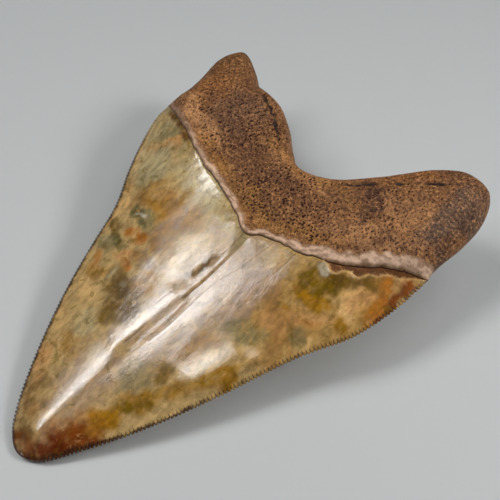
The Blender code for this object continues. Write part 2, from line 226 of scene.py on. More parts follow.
def nearest(line, points, closed=False):
    """The distance from each point to a polyline, and how far along it that place lies."""
    ends = np.vstack([line, line[:1]]) if closed else line
    start = lengths_along(ends)
    best = np.full(len(points), np.inf)
    along = np.zeros(len(points))
    for a, b, s in zip(ends[:-1], ends[1:], start):
        ab = b - a
        t = np.clip(((points - a) @ ab) / (ab @ ab), 0.0, 1.0)
        gap = np.hypot(points[:, 0] - a[0] - t * ab[0], points[:, 1] - a[1] - t * ab[1])
        closer = gap < best
        best = np.where(closer, gap, best)
        along = np.where(closer, s + t * math.hypot(*ab), along)
    return best, along


def smoothstep(low, high, value):
    t = np.clip((value - low) / (high - low), 0.0, 1.0)
    return t * t * (3.0 - 2.0 * t)


def bump(distance, width):
    """1 at distance 0, fading like a bell."""
    return np.exp(-(distance / width) ** 2)


def stations(table, y):
    """The height that a table of (distance, height) gives at y, smoothed."""
    curve = smooth_curve(table)
    return np.interp(y, curve[:, 0], curve[:, 1])


def noise(points, size, seed, turn=0.5):
    """Smooth noise from -1 to 1, with bumps about `size` mm apart (one size, or x and y).

    The table of values comes from the seed, so each use has a seed of its own and repeats itself
    from run to run."""
    table = np.random.default_rng(seed).uniform(-1.0, 1.0, (256, 256))
    turned = points @ np.array([[math.cos(turn), -math.sin(turn)], [math.sin(turn), math.cos(turn)]])
    place = turned / np.array(size) + 128.0
    cell = np.floor(place).astype(int)
    t = place - cell
    t = t ** 3 * (t * (6.0 * t - 15.0) + 10.0)
    i, j = cell.T % 256
    k, m = (i + 1) % 256, (j + 1) % 256
    low = table[i, j] * (1 - t[:, 0]) + table[k, j] * t[:, 0]
    high = table[i, m] * (1 - t[:, 0]) + table[k, m] * t[:, 0]
    return low * (1 - t[:, 1]) + high * t[:, 1]


def fractal(points, size, seed, octaves=3):
    """Noise with finer and weaker noise added, still from -1 to 1."""
    total = sum(noise(points, size / 2 ** n, seed + n, 0.5 + n) / 2 ** n for n in range(octaves))
    return total / sum(1 / 2 ** n for n in range(octaves))


# ---- the lines that shape the tooth ----
EDGES = smooth_curve(CUTTING_EDGES)
ROOT_LINE = np.vstack([smooth_curve(RIGHT_LOBE_AND_NOTCH), smooth_curve(LEFT_LOBE)[1:]])
OUTLINE = np.vstack([EDGES, ROOT_LINE[1:-1]])
TIP_INDEX = int(np.argmin(EDGES[:, 1]))
LEFT_SIDE = EDGES[TIP_INDEX::-1]
RIGHT_SIDE = EDGES[TIP_INDEX:]
EDGE_LENGTH = lengths_along(EDGES)[-1]
TIP_ALONG = lengths_along(EDGES)[TIP_INDEX]


def ragged(line, size, seed):
    """The line with its Y shifted by noise, nothing at the two ends."""
    fine = resample(line, step=0.3)
    fade = np.clip(np.minimum(fine[:, 0] - fine[0, 0], fine[-1, 0] - fine[:, 0]) / 4.0, 0.0, 1.0)
    fine[:, 1] += fade * size * (noise(fine, 1.9, seed) + 0.6 * noise(fine, 0.7, seed + 1))
    return fine


BORDER = ragged(smooth_curve(ENAMEL_BORDER), 0.22, 3)
LINGUAL_LINE = ragged(smooth_curve(LINGUAL_BORDER), 0.35, 5)
FLAKE_LINE = ragged(smooth_curve(FLAKE_EDGE, 6), 0.12, 7)
GROOVE = smooth_curve(RIM_GROOVE)


def across(x, y):
    """Place between the cutting edges: -1 on the left one, 0 in the middle, 1 on the right one."""
    level = np.clip(y, 0.0, CROWN_LENGTH)
    left = np.interp(level, LEFT_SIDE[:, 1], LEFT_SIDE[:, 0])
    right = np.interp(level, RIGHT_SIDE[:, 1], RIGHT_SIDE[:, 0])
    return np.clip((2.0 * x - left - right) / np.maximum(right - left, 0.5), -1.0, 1.0)


def rootward(line, points):
    """Whether each point lies on the root side of a line that crosses the tooth."""
    return points[:, 1] > np.interp(points[:, 0], line[:, 0], line[:, 1])


def beyond(line, points):
    """Signed distance to a line that crosses the tooth, positive on its root side."""
    return np.where(rootward(line, points), 1.0, -1.0) * nearest(line, points)[0]


def rounded_rim(depth, radius):
    """Share of the full height at that depth inside the rim, rising over a round shoulder."""
    return (1.0 - (1.0 - np.clip(depth / radius, 0.0, 1.0)) ** 2.2) ** (1.0 / 2.2)


def serration_fade(along):
    """1 where the edge is serrated; the tip is worn smooth and the corners run out."""
    from_corner = np.minimum(along, EDGE_LENGTH - along)
    worn = smoothstep(WORN_TIP - 3.0, WORN_TIP + 2.0, np.abs(along - TIP_ALONG))
    return worn * smoothstep(0.0, 3.0, from_corner)


def serration_shape(along):
    """0.5 on the round top of a serration, -0.5 in the narrow notch between two."""
    turns = along * (round(EDGE_LENGTH / SERRATION_PITCH) / EDGE_LENGTH)
    from_top = np.abs(2.0 * (turns - np.floor(turns)) - 1.0)
    return 0.5 - (1.0 - from_top) ** 2.6


def lattice(bottom, step, row_step):
    """A staggered lattice of points over the tooth's width, from that Y to the end of the root."""
    low, high = OUTLINE.min(axis=0), OUTLINE.max(axis=0)
    rows = np.arange(bottom, high[1], row_step)
    columns = np.arange(low[0], high[0], step)
    return np.array([(x + (j % 2) * step / 2, y) for j, y in enumerate(rows) for x in columns])


def point_tree(points):
    """A search tree over points of the plan."""
    tree = kdtree.KDTree(len(points))
    for i, (x, y) in enumerate(points.tolist()):
        tree.insert((x, y, 0.0), i)
    tree.balance()
    return tree


# ---- the pits: seeded, wider and deeper in the middle of the root ----
def scatter_pits(border, spacing, seed, labial):
    """Middles and sizes (0 to 1) of the pits of one side, on a jittered lattice."""
    rng = np.random.default_rng(seed)
    grid = lattice(PITS_FROM_Y, spacing, spacing * 0.87)
    places = grid + rng.uniform(-0.36, 0.36, grid.shape) * spacing
    places = places[inside_outline(places)]
    inside = nearest(OUTLINE, places, closed=True)[0]
    past = beyond(border, places)
    strength = pit_strength(places, labial)
    keep = (inside > 0.9) & (past > (COLLAR_WIDTH + 0.5 if labial else 1.5))
    keep &= rng.uniform(0.0, 1.0, len(places)) < 0.25 + 0.75 * strength
    size = rng.uniform(0.0, 1.0, len(places)) ** 1.4 * (0.35 + 0.65 * strength)
    return places[keep], size[keep]


def pit_strength(points, labial):
    """How pitted the bone is: most in the middle and the left, least at the ends of the lobes."""
    x, y = points.T
    middle = bump(x - 4.0, 16.0) * bump(y - 74.0, 9.0)
    left = bump(x + 16.0, 14.0) * bump(y - 84.0, 10.0) * 0.85
    right = bump(x - 24.0, 12.0) * bump(y - 86.0, 10.0) * 0.5
    patches = 0.25 * noise(points, 5.0, 21)
    base = np.maximum(np.maximum(middle, left), right) if labial else 0.45
    return np.clip(base + 0.12 + patches, 0.0, 1.0)


def inside_outline(points):
    """Even-odd test of points against the outline."""
    inside = np.zeros(len(points), bool)
    for a, b in zip(OUTLINE, np.roll(OUTLINE, -1, axis=0)):
        spans = (a[1] > points[:, 1]) != (b[1] > points[:, 1])
        if a[1] != b[1]:
            crossing = a[0] + (points[:, 1] - a[1]) * (b[0] - a[0]) / (b[1] - a[1])
            inside ^= spans & (points[:, 0] < crossing)
    return inside


# ---- fields: everything the surface knows about a place on one side ----
def fields(points, border):
    """Place, distances inward and past the enamel border, and phase of the serrations."""
    x, y = points.T
    to_edge, along = nearest(EDGES, points)
    border_gap, border_along = nearest(border, points)
    return {
        "x": x, "y": y, "u": across(x, y),
        "inside": nearest(OUTLINE, points, closed=True)[0], "to_edge": to_edge,
        "serration": serration_shape(along) * serration_fade(along),
        "past": np.where(rootward(border, points), border_gap, -border_gap),
        "border_along": border_along,
    }


def edge_bead(f):
    """The cutting edge is rounded, with a ridge behind each serration."""
    bead = BEAD * (1.0 - np.exp(-f["inside"] / BEAD_ROUND))
    ridge = RIDGE_HEIGHT * f["serration"] * smoothstep(RIDGE_LENGTH, 0.25, f["to_edge"])
    ridge *= 1.0 - 0.8 * smoothstep(*RIDGES_END_X, f["x"])
    ridge *= smoothstep(0.0, 0.15, f["inside"])
    return bead + ridge


def swells(x, y):
    """The low swells and folds of the labial crown."""
    total = np.zeros(len(x))
    for height, to_left, to_right, to_ends, line in SWELLS:
        crest = smooth_curve(line)[::-1]
        aside = x - np.interp(y, crest[:, 1], crest[:, 0])
        past_end = np.maximum(0.0, np.maximum(y - crest[-1, 1], crest[0, 1] - y))
        width = np.where(aside < 0.0, to_left, to_right)
        total += height * bump(aside, width) * bump(past_end, to_ends)
    return total


def labial_crown(points, f):
    """Height of the enamel. Adds the fields of the flaked strip, the dull spots and the cracks."""
    x, y, past = f["x"], f["y"], f["past"]
    fullness = 2.0 + 1.4 * smoothstep(10.0, 75.0, y)
    crown = stations(LABIAL_CROWN, y) * (1.0 - np.abs(f["u"]) ** fullness)
    crown += swells(x, y) * smoothstep(0.0, 3.0, f["inside"])
    lip = LIP_HEIGHT * np.exp(np.minimum(past, 0.0) / LIP_LENGTH)
    crown += lip * smoothstep(0.0, 8.0, f["inside"])
    crown += FLUTE_HEIGHT * noise(points, (2.2, 9.0), 31, 0.05) + WAVE_HEIGHT * noise(points, 7.0, 33)
    striae = STRIAE_HEIGHT * noise(np.c_[f["border_along"], past], (0.75, 6.0), 35, 0.0)
    crown += striae * smoothstep(-9.0, -1.0, past) * smoothstep(0.0, 3.0, f["inside"])
    crown += edge_bead(f)

    to_flake = beyond(FLAKE_LINE, points)
    in_strip = (x > FLAKE_EDGE[0][0]) & (x < FLAKE_EDGE[-1][0]) & (past < 0.35)
    f["flake"] = np.where(in_strip, smoothstep(-0.10, 0.08, to_flake), 0.0)
    f["flake_line"] = np.where((x > FLAKE_EDGE[0][0]) & (past < 0.3), np.abs(to_flake), FAR)
    crown -= f["flake"] * (FLAKE_DEPTH + 0.10 * noise(points, 0.9, 37))
    spots = [bump(np.hypot((x - middle[0]) / half[0], (y - middle[1]) / half[1]), 1.0)
             for middle, half in DULL_SPOTS]
    f["dull"] = smoothstep(0.2, 0.7, np.maximum.reduce(spots) + 0.25 * noise(points, 0.9, 58))
    f["crack"] = np.minimum.reduce([nearest(smooth_curve(line), points)[0] for line in CRACKS])
    return crown - CRACK_DEPTH * bump(f["crack"], CRACK_WIDTH)


def labial_root(points, f):
    """Height of the bone. Adds the field of the groove along the notch."""
    x, u = f["x"], f["u"]
    radius = LABIAL_ROUND + LOBE_ROUND * np.abs(u) ** 4
    root = LABIAL_ROOT * (1.0 - 0.10 * u ** 2) * rounded_rim(f["inside"], radius)
    to_groove = nearest(GROOVE, points)[0] + 0.25 * noise(points, 1.2, 41)
    openness = 0.12 + 0.78 * smoothstep(-4.0, -10.0, x) + 0.62 * smoothstep(6.0, 16.0, x)
    f["groove"] = bump(to_groove, GROOVE_WIDTH) * openness * (0.8 + 0.5 * noise(points, 2.0, 43))
    grain = 0.07 * fractal(points, 1.6, 45) + 0.05 * noise(points, 0.55, 47)
    return root - GROOVE_DEPTH * f["groove"] + grain * smoothstep(0.2, 1.2, f["inside"])


def labial_height(points, f):
    """Crown and root joined at the enamel border. Adds the field of the collar that covers it."""
    past, border = f["past"], np.c_[f["border_along"], f["past"]]
    corner = np.abs(f["u"]) ** 3
    blend = smoothstep(-2.0 * corner, 3.2 + 1.5 * corner, past)
    height = labial_crown(points, f) * (1.0 - blend) + labial_root(points, f) * blend
    width = COLLAR_WIDTH * (0.56 + 0.44 * smoothstep(8.0, 20.0, f["x"]))
    width *= 1.0 + 0.28 * noise(points, 1.6, 53)
    f["collar"] = smoothstep(-0.05, 0.35, past) * smoothstep(width + 0.5, width - 0.5, past)
    wrinkles = noise(border, (2.2, 0.6), 49, 0.15) + 0.6 * noise(border, (0.8, 0.5), 51, 0.1)
    raised = COLLAR_HEIGHT + COLLAR_WRINKLES * wrinkles
    height += raised * f["collar"] * smoothstep(0.0, 4.0, f["inside"])
    return height - BORDER_CUT * bump(past, 0.13) * smoothstep(0.0, 2.0, f["inside"])


def lingual_height(points, f):
    """Crown and root of the side that faces down, as heights below the plane of the edges."""
    x, y, u, past = f["x"], f["y"], f["u"], f["past"]
    crown = stations(LINGUAL_CROWN, y) * (1.0 - np.abs(u) ** 2.1)
    width = BOURLETTE_WIDTH * (1.0 - np.abs(u) ** 1.5)
    f["bourlette"] = smoothstep(-width - 0.3, -width + 0.2, past) * (width > 1.0) * (past < 0.0)
    crown -= BOURLETTE_DEPTH * smoothstep(-width - 0.4, -width + 0.1, past) * (width > 1.0)
    crown += 0.04 * noise(points, (2.6, 11.0), 61, 0.05) + edge_bead(f)

    radius = LINGUAL_ROUND + LOBE_ROUND * np.abs(u) ** 4
    pair = bump(x - TORUS_X, TORUS_WIDTH * math.sqrt(2)) + bump(x + TORUS_X, TORUS_WIDTH * math.sqrt(2))
    torus = TORUS_HEIGHT * pair * bump(y - TORUS_Y, TORUS_LENGTH * math.sqrt(2))
    furrow = FURROW_DEPTH * bump(x - FORAMEN[0], FURROW_WIDTH) * bump(y - TORUS_Y, 9.0)
    root = (LINGUAL_ROOT + torus - furrow) * rounded_rim(f["inside"], radius)
    root -= FORAMEN_DEPTH * bump(np.hypot(x - FORAMEN[0], y - FORAMEN[1]), FORAMEN_RADIUS)
    root += 0.10 * fractal(points, 2.2, 63) * smoothstep(0.2, 1.2, f["inside"])

    blend = smoothstep(-0.5, 4.0, past)
    return -(crown * (1.0 - blend) + root * blend)


# ---- points of the mesh ----
def outer_loop():
    """The outline of the tooth: round serrations on the cutting edges, a plain line round the root."""
    count = SERRATION_POINTS * round(EDGE_LENGTH / SERRATION_PITCH)
    edge = resample(EDGES, count=count)
    along = np.linspace(0.0, EDGE_LENGTH, count + 1)
    shift = SERRATION_DEPTH * serration_shape(along) * serration_fade(along)
    edge = edge - shift[:, None] * normals(edge, closed=False)
    return np.vstack([edge, resample(ROOT_LINE, step=ROOT_RIM_STEP)[1:-1]])


def beside(line, offset, step, clear):
    """Points beside a line at a given offset, kept clear of the outline."""
    row = resample(line, step=step)
    row = row + offset * normals(row, closed=False)
    row = row[inside_outline(row)]
    return row[nearest(OUTLINE, row, closed=True)[0] > clear]


def edge_rows():
    """Rows of points just inside the cutting edges and the root's rim, wider apart further in."""
    rows = []
    for depth in EDGE_INSETS:
        per_serration = SERRATION_POINTS if depth < 1.0 else 3
        count = per_serration * round(EDGE_LENGTH / SERRATION_PITCH)
        row = resample(EDGES, count=count)
        row = row + depth * normals(row, closed=False)
        rows.append(row[nearest(OUTLINE, row, closed=True)[0] > 0.93 * depth])
    for depth in ROOT_INSETS:
        rows.append(beside(ROOT_LINE, depth, ROOT_RIM_STEP, 0.92 * depth))
    return rows


def pit_radius(sizes):
    return PIT_RADIUS[0] + (PIT_RADIUS[1] - PIT_RADIUS[0]) * sizes


def pit_points(places, sizes):
    """The bottom of each pit and a ring of six points round its mouth."""
    turns = np.linspace(0.0, 2.0 * math.pi, 6, endpoint=False)
    ring = np.c_[0.8 * np.cos(turns), 1.25 * np.sin(turns)]
    mouths = places[:, None, :] + pit_radius(sizes)[:, None, None] * ring[None, :, :]
    return np.vstack([places, mouths.reshape(-1, 2)])


def fill_points(taken, border, crown_step, root_step):
    """A staggered lattice over crown and root, clear of the points that are already placed."""
    tree = point_tree(taken)
    kept = []
    for step, on_root in ((crown_step, False), (root_step, True)):
        grid = lattice(OUTLINE[:, 1].min(), step, step * math.sqrt(0.75))
        grid = grid[inside_outline(grid)]
        grid = grid[rootward(border, grid) == on_root]
        kept += [p for p in grid.tolist() if tree.find((p[0], p[1], 0.0))[2] > 0.66 * step]
    return np.array(kept)


def triangulate(points, loop_size):
    """Triangles over the inside of the outer loop, which comes first among the points."""
    loop = list(range(loop_size))
    result = delaunay_2d_cdt([Vector(p) for p in points.tolist()], [], [loop], 1, 1e-7)
    source = np.array([ids[0] for ids in result[3]])
    return source[np.array([face for face in result[2]])]


def apart(placed, rows):
    """The placed points, then those of each row that don't lie on top of an earlier one."""
    for row in rows:
        tree = point_tree(placed)
        fresh = [p for p in row.tolist() if tree.find((p[0], p[1], 0.0))[2] > LEAST_GAP]
        placed = np.vstack([placed, fresh]) if fresh else placed
    return placed


def labial_points(outer, pits):
    """The loop, rows along everything that has a sharp line, the pits, and the lattice between."""
    rows = edge_rows() + [beside(BORDER, offset, 0.3, 0.7) for offset in (0.0, -0.13, 0.13)]
    rows += [beside(FLAKE_LINE, offset, 0.25, 0.7) for offset in (-0.09, 0.07)]
    rows += [beside(smooth_curve(line), offset, 0.35, 1.5)
             for line in CRACKS for offset in (0.0, -0.10, 0.10)]
    rows += [beside(BORDER, offset, 0.36, 0.7) for offset in COLLAR_ROWS]
    rows += [pit_points(*pits)] + [beside(GROOVE, offset, 0.45, 1.0) for offset in (0.0, -0.4, 0.4)]
    placed = apart(outer, rows)
    return np.vstack([placed, fill_points(placed, BORDER, CROWN_STEP, ROOT_STEP)])


def lingual_points(outer, pits):
    rows = edge_rows() + [beside(LINGUAL_LINE, offset, 0.5, 0.7) for offset in (0.0, -0.2, 0.2)]
    rows += [pit_points(*pits)]
    placed = apart(outer, rows)
    return np.vstack([placed, fill_points(placed, LINGUAL_LINE, LINGUAL_CROWN_STEP, LINGUAL_ROOT_STEP)])


def pit_field(points, places, sizes):
    """How deep in a pit each point lies: 1 at the bottom of the largest pits, 0 outside them."""
    tree = point_tree(places)
    radii = pit_radius(sizes)
    field = np.zeros(len(points))
    for n, (x, y) in enumerate(points.tolist()):
        _, i, gap = tree.find((x, y, 0.0))
        radius = radii[i]
        if gap < 0.6 * radius:
            field[n] = (1.0 - gap / radius) * (0.35 + 0.65 * sizes[i])
    return field


def build_side(outer, labial):
    """Points, heights, fields and triangles of one side, the outer loop first."""
    border = BORDER if labial else LINGUAL_LINE
    pits = scatter_pits(border, *(LABIAL_PITS if labial else LINGUAL_PITS), labial)
    points = (labial_points if labial else lingual_points)(outer, pits)
    f = fields(points, border)
    height = (labial_height if labial else lingual_height)(points, f)
    f["pit"] = pit_field(points, *pits)
    deep = PIT_DEPTH[0] * (f["pit"] > 0) + PIT_DEPTH[1] * f["pit"]
    height -= deep if labial else -deep
    height[:len(outer)] = 0.0
    return points, height, f, triangulate(points, len(outer))


# ---- colours ----
PALETTE = {  # sRGB values, 0 to 255, chosen so that the lit render comes near the photo
    "sand": (177, 147, 96), "sage": (166, 150, 110), "pale sage": (180, 166, 126),
    "grey green": (122, 112, 74), "dark green": (84, 78, 44), "cream": (202, 162, 104),
    "peach": (190, 140, 86), "tan": (144, 104, 54), "amber": (150, 104, 32),
    "orange": (158, 90, 12), "mustard": (142, 98, 4), "olive": (104, 78, 4),
    "dark olive": (86, 60, 4), "brown": (124, 88, 46), "umber": (96, 62, 22),
    "rust": (108, 48, 0), "deep rust": (84, 24, 0), "lilac grey": (146, 118, 96),
    "pale grey": (182, 170, 146), "bone": (133, 88, 47), "light bone": (206, 150, 98),
    "dark bone": (62, 32, 16), "grey bone": (98, 76, 60), "orange bone": (144, 88, 30),
    "ochre": (158, 108, 44), "collar": (220, 184, 156), "flake": (90, 50, 8),
}

# Spots of the labial enamel that have lost their gloss: middle, half width and half length.
DULL_SPOTS = [
    ((2.7, 53.8), (1.1, 2.4)), ((1.8, 50.8), (1.1, 2.6)),
    ((4.2, 60.6), (0.8, 2.6)), ((-0.6, 0.6), (2.4, 1.3)),
]
# Soft stains of the labial enamel, laid one over the other: colour, middle, half axes, turn in
# degrees and strength. Their order counts, because each one's ragged outline has its own seed.
ENAMEL_STAINS = [
    ("amber", (27, 62), (13, 20), -20, 0.55), ("lilac grey", (6, 46), (8, 24), 0, 0.7),
    ("lilac grey", (1, 16), (5, 12), 0, 0.6), ("sage", (-34, 74), (6, 7), 0, 0.8),
    ("cream", (-34.2, 75), (1.6, 2.2), 10, 0.5), ("grey green", (-28, 71.6), (6, 2.2), -15, 0.7),
    ("umber", (-29, 75.6), (7.6, 1.7), -24, 0.95), ("cream", (-32, 63), (2, 6), 25, 0.7),
    ("peach", (-27, 68.6), (4, 1.5), 45, 0.9), ("peach", (-24.6, 71), (0.9, 1.6), 0, 0.7),
    ("pale sage", (-27, 63), (5, 5), 20, 0.7), ("sage", (-24.4, 65), (4.6, 4), 10, 0.8),
    ("grey green", (-26, 59.4), (4, 2.4), 0, 0.6), ("pale sage", (-14, 67), (8, 4), -15, 0.6),
    ("sage", (-5, 64), (7, 3.4), -15, 0.7), ("peach", (-28, 57), (1.6, 3), 28, 0.6),
    ("cream", (-26.6, 52.6), (3.2, 4.4), 22, 1.0), ("amber", (-15, 57.4), (8, 4.2), 0, 0.9),
    ("brown", (-22, 55.6), (2.2, 4), 0, 0.6), ("mustard", (-13.6, 60.8), (3.4, 1.3), -30, 0.8),
    ("tan", (-8, 58.4), (4, 3.6), 0, 0.6), ("orange", (-17.5, 59.4), (2, 1.2), 10, 0.5),
    ("grey green", (-17.8, 52.4), (4.2, 2.2), -5, 0.85),
    ("dark green", (-20.4, 52.4), (1.0, 1.2), 0, 0.8),
    ("pale grey", (-18.6, 51.8), (1.5, 0.6), -8, 0.9),
    ("dark green", (-18.4, 50.9), (2.4, 0.5), 0, 0.7), ("peach", (-12, 53), (2.2, 0.8), 35, 0.8),
    ("brown", (-10.4, 50.6), (4.4, 2), 0, 0.8), ("mustard", (-8, 49), (3, 2), 0, 0.6),
    ("dark olive", (-21.4, 47), (4.6, 1.3), -22, 0.85),
    ("dark green", (-18.4, 45.4), (3.2, 1.0), -10, 0.8),
    ("orange", (-15.2, 48.6), (2.8, 1.7), 0, 0.9),
    ("grey green", (-20.6, 43), (3.8, 2.4), -10, 0.8), ("sage", (-22.6, 44.4), (1.6, 1.2), 0, 0.6),
    ("peach", (-13.2, 43.9), (2.8, 1.5), 30, 0.95), ("orange", (-12.4, 41.9), (1.7, 1.1), 0, 0.85),
    ("brown", (-8.6, 45), (4, 2.4), 0, 0.8), ("sage", (-8.8, 43.6), (1.8, 0.7), -40, 0.6),
    ("dark olive", (-11.4, 38.6), (5, 2.6), 0, 0.8), ("sage", (-14.2, 38.9), (1.0, 1.8), 0, 0.85),
    ("sage", (-9, 38.2), (2, 0.9), -45, 0.8), ("dark olive", (-6.2, 36), (4.6, 7.4), 12, 0.95),
    ("mustard", (-5, 41.6), (3, 3), 0, 0.9), ("amber", (-17.4, 36.8), (2.6, 1.8), 20, 0.6),
    ("orange", (-20.2, 38.8), (1.4, 2), 20, 0.6), ("cream", (-15.4, 32.6), (4, 2.6), 0, 0.5),
    ("olive", (-5.6, 30.6), (3, 2.2), 0, 0.6), ("sage", (-9, 26), (4.2, 2.8), 0, 0.75),
    ("cream", (-16, 24), (2, 5), 26, 0.6), ("amber", (-10, 21.6), (3.6, 1.6), 0, 0.6),
    ("brown", (-5.4, 22), (2.4, 4), 10, 0.5), ("peach", (-10.6, 16), (2.6, 4), 26, 0.8),
    ("brown", (-6, 9), (3.4, 6), 30, 0.8), ("umber", (-2, 1.6), (3.4, 2), 0, 0.8),
    ("dark olive", (2.3, 52.0), (1.2, 3.8), -12, 1.0),
    ("brown", (-10.0, 53.0), (3.0, 4.5), 0, 0.6), ("sand", (-17.0, 61.0), (3.0, 3.0), 0, 0.6),
    ("amber", (33.4, 69.0), (2.2, 5.0), 0, 0.65), ("olive", (2.0, 47), (0.6, 3), 6, 0.6),
    ("grey green", (4.3, 60.4), (1.1, 3.2), -10, 0.8), ("sage", (1.5, 63), (2.5, 1.6), 0, 0.6),
    ("lilac grey", (14, 54), (3.4, 9), 0, 0.8), ("brown", (17.4, 56.6), (1.8, 4), 0, 0.6),
    ("tan", (13, 37), (3, 6), -10, 0.8), ("mustard", (17.6, 31), (4.0, 2), 62, 0.5),
    ("tan", (22.4, 53.4), (5, 4.4), 0, 0.85), ("peach", (21.5, 52), (3, 2.4), 0, 0.5),
    ("peach", (26.4, 57.8), (4.2, 2.2), 20, 0.5), ("orange", (27.4, 56.8), (2, 1.2), 0, 0.4),
    ("mustard", (21, 57.6), (1.6, 1), 0, 0.7), ("olive", (24, 64.8), (5.6, 4.6), 10, 1.0),
    ("mustard", (25.4, 61.8), (3.4, 1.7), 10, 0.9),
    ("dark olive", (26.4, 68.4), (4.4, 1.6), 25, 0.9),
    ("mustard", (21.6, 61.4), (2.6, 1.3), 0, 0.7), ("pale grey", (21.8, 67.4), (1.5, 1.4), 0, 0.8),
    ("cream", (29.6, 64), (2.6, 3.2), -20, 0.9), ("peach", (31.8, 67.4), (1.6, 3.4), -20, 0.7),
    ("dark olive", (30.4, 70.8), (2.6, 1.8), 38, 0.85), ("amber", (33, 74), (2.4, 2.4), 30, 0.7),
    ("orange", (34.8, 70), (1.5, 5.4), 14, 0.8), ("rust", (37.0, 71.6), (1.2, 7.4), 7, 0.95),
    ("mustard", (31.6, 60.4), (2.2, 2), -20, 0.85), ("grey green", (27.4, 53), (1.8, 2.4), 0, 0.6),
    ("cream", (29.2, 53), (0.8, 2.4), -25, 0.6), ("grey green", (18, 47), (4.4, 2.6), 25, 0.8),
    ("tan", (24.4, 46.6), (1.9, 4), 18, 0.7), ("mustard", (20.6, 36), (4.6, 1.7), 62, 0.9),
    ("olive", (12.2, 31), (2, 2.6), 0, 0.8), ("mustard", (14.6, 27.6), (4.2, 1.8), 50, 0.7),
    ("grey green", (8, 26), (4.4, 4), 30, 0.6), ("mustard", (11.6, 22), (4.6, 2.6), 58, 0.8),
    ("olive", (11, 20.4), (3.0, 1.8), 35, 0.9), ("mustard", (9.2, 15.4), (3.4, 2.4), 50, 0.95),
    ("sand", (14.2, 19), (1.2, 3.4), -28, 0.5), ("orange", (6.6, 8.6), (4.0, 8), -36, 0.5),
    ("rust", (8.0, 8.8), (2.7, 6.0), -36, 0.95), ("deep rust", (4.8, 4.0), (3.0, 4.6), -40, 0.9),
    ("rust", (-1, -0.5), (5, 2.2), 0, 0.8), ("amber", (8.6, 13.0), (2, 1.6), 0, 0.6),
]
ENAMEL_GROUND = "sand"
ROOT_STAINS = [
    ("dark bone", (-8, 78), (11, 8), -10, 0.35), ("grey bone", (-20, 86), (7, 8), 0, 0.45),
    ("umber", (-33, 97), (4.5, 6), 0, 0.6), ("orange bone", (-30, 88), (5, 6), 0, 0.5),
    ("light bone", (-25, 79), (9, 2.8), -20, 0.9), ("light bone", (4, 83), (12, 2.4), 0, 0.25),
    ("orange bone", (-2, 67.6), (8, 2), -15, 0.6), ("umber", (6, 71), (9, 3.4), 0, 0.5),
    ("light bone", (24, 79), (10, 3.4), 25, 0.5), ("dark bone", (21, 85.5), (3, 4.2), 0, 0.9),
    ("ochre", (0, 69.4), (11, 2.6), -20, 0.75), ("ochre", (15, 72), (8, 2.2), 20, 0.6),
    ("ochre", (-15, 73.6), (9, 2.0), -18, 0.6), ("ochre", (4, 84), (14, 2.4), 0, 0.5),
    ("light bone", (28, 88), (5, 4), 20, 0.3), ("dark bone", (30, 82), (5, 2.4), 20, 0.4),
    # End of the right lobe: grey bone is partly its own grey-brown, partly painted sheen of its
    # polished surface; dark bone along its outer edge is painted shade where the round edge turns away
    # from the light.
    ("grey bone", (36, 94), (4, 9), -8, 0.9), ("dark bone", (38.4, 90), (1.4, 8), 0, 0.7),
    ("orange bone", (22, 97), (8, 3), 42, 0.4), ("dark bone", (32, 103), (6, 3), 10, 0.4),
]
ROOT_GROUND = "bone"
LINGUAL_STAINS = [
    ("sage", (-12, 52), (12, 9), 10, 0.7), ("amber", (10, 56), (9, 6), -10, 0.6),
    ("olive", (6, 30), (8, 10), 15, 0.6), ("dark green", (-10, 36), (6, 5), 0, 0.6),
    ("cream", (-20, 62), (6, 4), -20, 0.6), ("mustard", (16, 44), (5, 8), -20, 0.6),
    ("lilac grey", (0, 46), (6, 14), 0, 0.5), ("rust", (0, 4), (6, 7), 0, 0.8),
    ("peach", (22, 62), (6, 4), 20, 0.5),
]


def linear(name):
    """A palette colour in the linear values that shaders work in."""
    shown = np.array(PALETTE[name]) / 255.0
    return np.where(shown > 0.04045, ((shown + 0.055) / 1.055) ** 2.4, shown / 12.92)


def over(colour, cover, name, scale=1.0):
    """The colour with a palette colour laid over it, as thickly as the cover says."""
    return colour + cover[:, None] * (linear(name) * scale - colour)


def stained(points, ground, stains, seed):
    """The colour of each point after every stain, whose outlines wander with noise."""
    colour = np.tile(linear(ground), (len(points), 1))
    warp = np.c_[fractal(points, 5.0, seed, 4), fractal(points, 5.0, seed + 9, 4)] * 2.4
    for n, (name, middle, axes, turn, strength) in enumerate(stains):
        fine = fractal(points, 1.3, seed + 60 + n, 2)
        away = points + warp - np.array(middle)
        c, s = math.cos(math.radians(turn)), math.sin(math.radians(turn))
        reach = np.hypot((away @ (c, s)) / axes[0], (away @ (-s, c)) / axes[1])
        reach += 0.45 * fractal(points, 2.4, seed + 20 + n, 4)
        cover = strength * smoothstep(1.32, 0.58, reach) * np.clip(1.0 + 0.7 * fine, 0.0, 1.0)
        colour = over(colour, cover, name)
    return colour


def collar_cover(f):
    """How much of the pale collar colour shows: least at the left end and between its wrinkles."""
    wrinkled = noise(np.c_[f["border_along"], f["past"]], (1.2, 0.38), 57, 0.25)
    along = 0.35 + 0.60 * smoothstep(-32.0, -12.0, f["x"])
    return f["collar"] * along * (0.42 + 0.58 * smoothstep(-0.40, 0.10, wrinkled))


def dark_rim_and_shade(points, f):
    """Dark rim of the cutting edges, gone at the left corner; on the right it is painted shade of the
    edge's underside, widest near the tip.
    """
    left = f["x"] < 0.0
    width = np.where(left, 1.1, 0.65 + 0.9 * smoothstep(17.0, 7.0, f["y"]))
    # On the right the dark band is painted shade of the edge's underside, strongest towards the tip.
    on_right = 0.35 + 0.6 * smoothstep(38.0, 26.0, f["y"])
    dark_and_shade = 0.95 * np.where(left, smoothstep(74.0, 62.0, f["y"]), on_right)
    return dark_and_shade * smoothstep(width, 0.3 * width, f["to_edge"] + 0.3 * noise(points, 0.8, 55))


